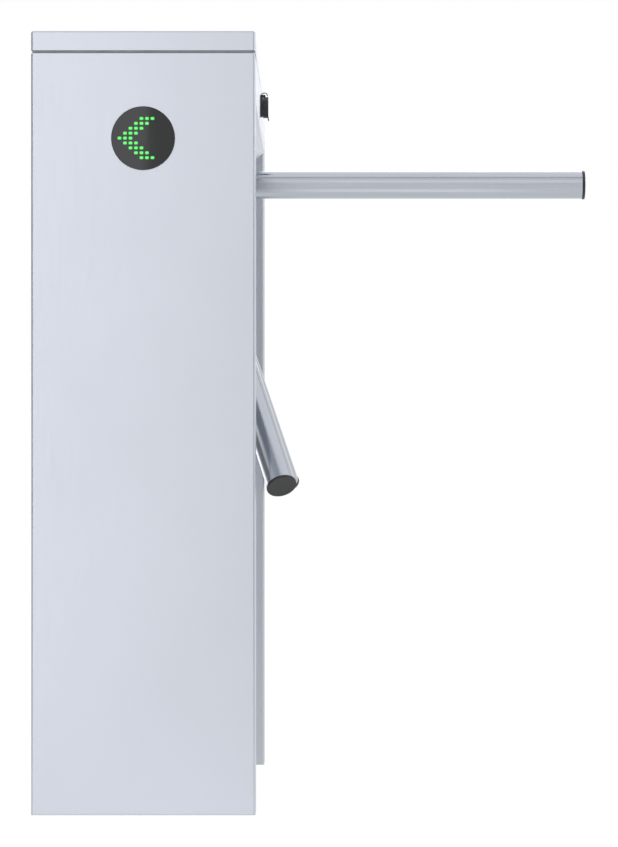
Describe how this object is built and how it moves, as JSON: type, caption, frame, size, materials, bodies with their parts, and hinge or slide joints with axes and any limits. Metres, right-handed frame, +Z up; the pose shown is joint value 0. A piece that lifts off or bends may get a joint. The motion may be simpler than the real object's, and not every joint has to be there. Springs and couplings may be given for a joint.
{
  "type": "tripod turnstile",
  "caption": "Tripod turnstile: a folded steel housing bridged between two legs, with three tube arms on a hub that turns on a leaning axis.",
  "frame": {"origin": "on the floor, at the centre of the four anchor holes under the legs", "axes": "+X across the lane, towards the side that the arms close; +Y along the cabinet, from the face in the picture to the far end; +Z up"},
  "size_m": [0.744, 0.819, 1],
  "materials": {
    "cabinet_steel": "fine satin sheet, cool grey",
    "arm_steel": "satin polished tube",
    "hub_cast": "bead blasted casting",
    "black_plastic": "fine texture",
    "rubber_seal": "matt",
    "smoked_lens": "smooth gloss",
    "green_lamp": "glowing lamp",
    "circuit_board": "solder mask",
    "zinc_plate": "zinc plated",
    "machined_steel": "turned and ground",
    "brass": "machined"
  },
  "bodies": {
    "cabinet": {"front_leg": "cabinet_steel", "rear_leg": "cabinet_steel", "front_foot": "zinc_plate", "rear_foot": "zinc_plate", "front_access_cover": "cabinet_steel", "rear_access_cover": "cabinet_steel", "housing": "cabinet_steel", "front_rib": "zinc_plate", "rear_rib": "zinc_plate", "lid_seal": "rubber_seal", "hub_collar": "black_plastic", "front_lens": "smoked_lens", "rear_lens": "smoked_lens", "front_lamps": "green_lamp", "rear_lamps": "green_lamp", "front_lamp_board": "circuit_board", "rear_lamp_board": "circuit_board", "hinge_body_leaves": "zinc_plate", "hinge_pins": "zinc_plate", "lock_barrel": "black_plastic", "lock_nut": "zinc_plate", "mechanism_plate": "zinc_plate", "bridge_plate": "zinc_plate", "pillars": "machined_steel", "pivot_posts": "machined_steel", "bearing_housing": "hub_cast", "front_bearing": "machined_steel", "rear_bearing": "machined_steel", "damper": "black_plastic", "front_solenoid": "brass", "rear_solenoid": "brass", "slot_sensor": "black_plastic", "control_board": "circuit_board", "power_supply": "zinc_plate"},
    "tripod": {"main_shaft": "zinc_plate", "hub": "hub_cast", "nose_cap": "arm_steel", "top_arm": "arm_steel", "front_arm": "arm_steel", "rear_arm": "arm_steel", "top_arm_cap": "black_plastic", "front_arm_cap": "black_plastic", "rear_arm_cap": "black_plastic", "index_cam": "hub_cast", "lock_disc": "machined_steel", "damper_gear": "brass", "encoder_disc": "black_plastic"},
    "lid": {"lid": "cabinet_steel", "lid_catch": "zinc_plate", "hinge_lid_leaves": "zinc_plate"},
    "lock_core": {"lock_core": "zinc_plate"},
    "lock_cap": {"lock_cap": "black_plastic"},
    "index_lever": {"index_lever": "zinc_plate", "index_spring": "machined_steel"},
    "index_roller": {"index_roller": "black_plastic"},
    "damper_pinion": {"damper_pinion": "brass"},
    "front_pawl": {"front_pawl": "machined_steel"},
    "rear_pawl": {"rear_pawl": "machined_steel"},
    "front_plunger": {"front_plunger": "machined_steel"},
    "rear_plunger": {"rear_plunger": "machined_steel"}
  },
  "joints": [
    {"name": "tripod_turn", "type": "hinge", "parent": "cabinet", "child": "tripod", "pos_m": [0.037, 0, 0.836], "axis": [0.7071, 0, -0.7071], "continuous": true},
    {"name": "damper_pinion_turn", "type": "hinge", "parent": "cabinet", "child": "damper_pinion", "pos_m": [0.00306, 0, 0.80206], "axis": [0.7071, 0, -0.7071], "continuous": true},
    {"name": "lid_open", "type": "hinge", "parent": "cabinet", "child": "lid", "pos_m": [-0.1465, 0, 0.974], "axis": [0, -1, 0], "range_deg": [0, 100]},
    {"name": "lock_turn", "type": "hinge", "parent": "cabinet", "child": "lock_core", "pos_m": [0.143, 0, 0.944], "axis": [1, 0, 0], "range_deg": [-90, 0]},
    {"name": "lock_cap_flip", "type": "hinge", "parent": "cabinet", "child": "lock_cap", "pos_m": [0.1485, 0, 0.96], "axis": [0, -1, 0], "range_deg": [0, 100]},
    {"name": "index_lever_swing", "type": "hinge", "parent": "cabinet", "child": "index_lever", "pos_m": [0.07801, 0.052, 0.87701], "axis": [0.7071, 0, -0.7071], "range_deg": [-1, 12]},
    {"name": "roller_spin", "type": "hinge", "parent": "index_lever", "child": "index_roller", "pos_m": [0.08379, 0.00057, 0.88279], "axis": [0.7071, 0, -0.7071], "continuous": true},
    {"name": "front_pawl_swing", "type": "hinge", "parent": "cabinet", "child": "front_pawl", "pos_m": [0.04382, -0.0633, 0.84282], "axis": [0.7071, 0, -0.7071], "range_deg": [0, 17]},
    {"name": "rear_pawl_swing", "type": "hinge", "parent": "cabinet", "child": "rear_pawl", "pos_m": [0.04382, 0.0633, 0.84282], "axis": [-0.7071, 0, 0.7071], "range_deg": [0, 17]},
    {"name": "front_plunger_slide", "type": "slide", "parent": "cabinet", "child": "front_plunger", "axis": [0.3536, 0.866, 0.3536], "range_m": [0, 0.01197]},
    {"name": "rear_plunger_slide", "type": "slide", "parent": "cabinet", "child": "rear_plunger", "axis": [0.3536, -0.866, 0.3536], "range_m": [0, 0.01197]}
  ],
  "couplings": [
    {"joint": "damper_pinion_turn", "follows": "tripod_turn", "ratio": -3},
    {"joint": "front_plunger_slide", "follows": "front_pawl_swing", "m_per_rad": 0.04},
    {"joint": "rear_plunger_slide", "follows": "rear_pawl_swing", "m_per_rad": 0.04}
  ]
}
